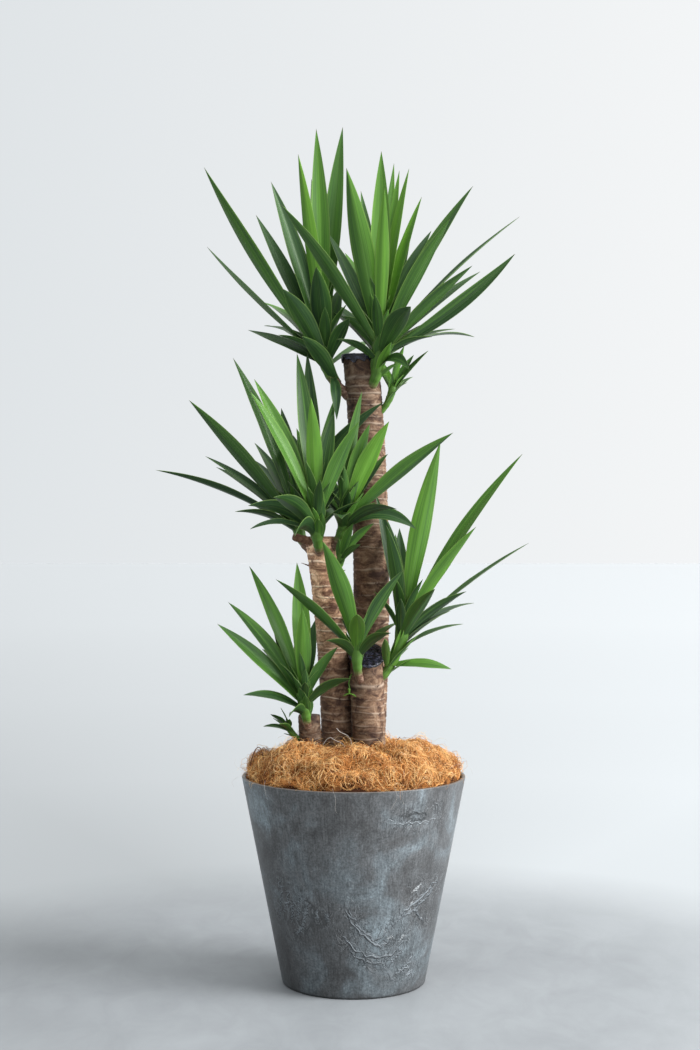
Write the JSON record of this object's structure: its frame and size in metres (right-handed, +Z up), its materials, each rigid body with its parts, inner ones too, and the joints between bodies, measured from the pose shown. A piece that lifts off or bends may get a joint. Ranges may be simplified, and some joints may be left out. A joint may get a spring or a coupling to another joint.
{
  "type": "potted yucca",
  "caption": "Potted yucca: upright ringed canes of stepped heights with sword-leaved heads, in a tapered pot topped with coconut fibre.",
  "frame": {"origin": "centre of the pot's flat underside", "axes": "+Z up the plant, -Y towards the front that the picture shows, +X to the right seen from the front"},
  "size_m": [0.6201, 0.4702, 1.4378],
  "materials": {
    "pot": "satin",
    "soil": "matte",
    "coir_mulch": "matte",
    "sealant_tall": "satin",
    "sealant_short": "satin",
    "stub_middle": "matte",
    "cane_tall": "matte",
    "cane_middle": "matte",
    "cane_short": "matte",
    "cane_low": "matte",
    "head_tall_left": "satin",
    "head_tall_right": "satin",
    "shoot_tall": "satin",
    "head_middle_left": "satin",
    "head_middle_back": "satin",
    "head_middle_right": "satin",
    "shoot_middle": "satin",
    "head_short_right": "satin",
    "head_short_front": "satin",
    "head_low": "satin",
    "shoot_low": "satin"
  },
  "bodies": {
    "root": {"pot": "pot", "soil": "soil", "coir_mulch": "coir_mulch", "sealant_tall": "sealant_tall", "sealant_short": "sealant_short", "stub_middle": "stub_middle", "cane_tall": "cane_tall", "cane_middle": "cane_middle", "cane_short": "cane_short", "cane_low": "cane_low", "head_tall_left": "head_tall_left", "head_tall_right": "head_tall_right", "shoot_tall": "shoot_tall", "head_middle_left": "head_middle_left", "head_middle_back": "head_middle_back", "head_middle_right": "head_middle_right", "shoot_middle": "shoot_middle", "head_short_right": "head_short_right", "head_short_front": "head_short_front", "head_low": "head_low", "shoot_low": "shoot_low"}
  },
  "joints": []
}
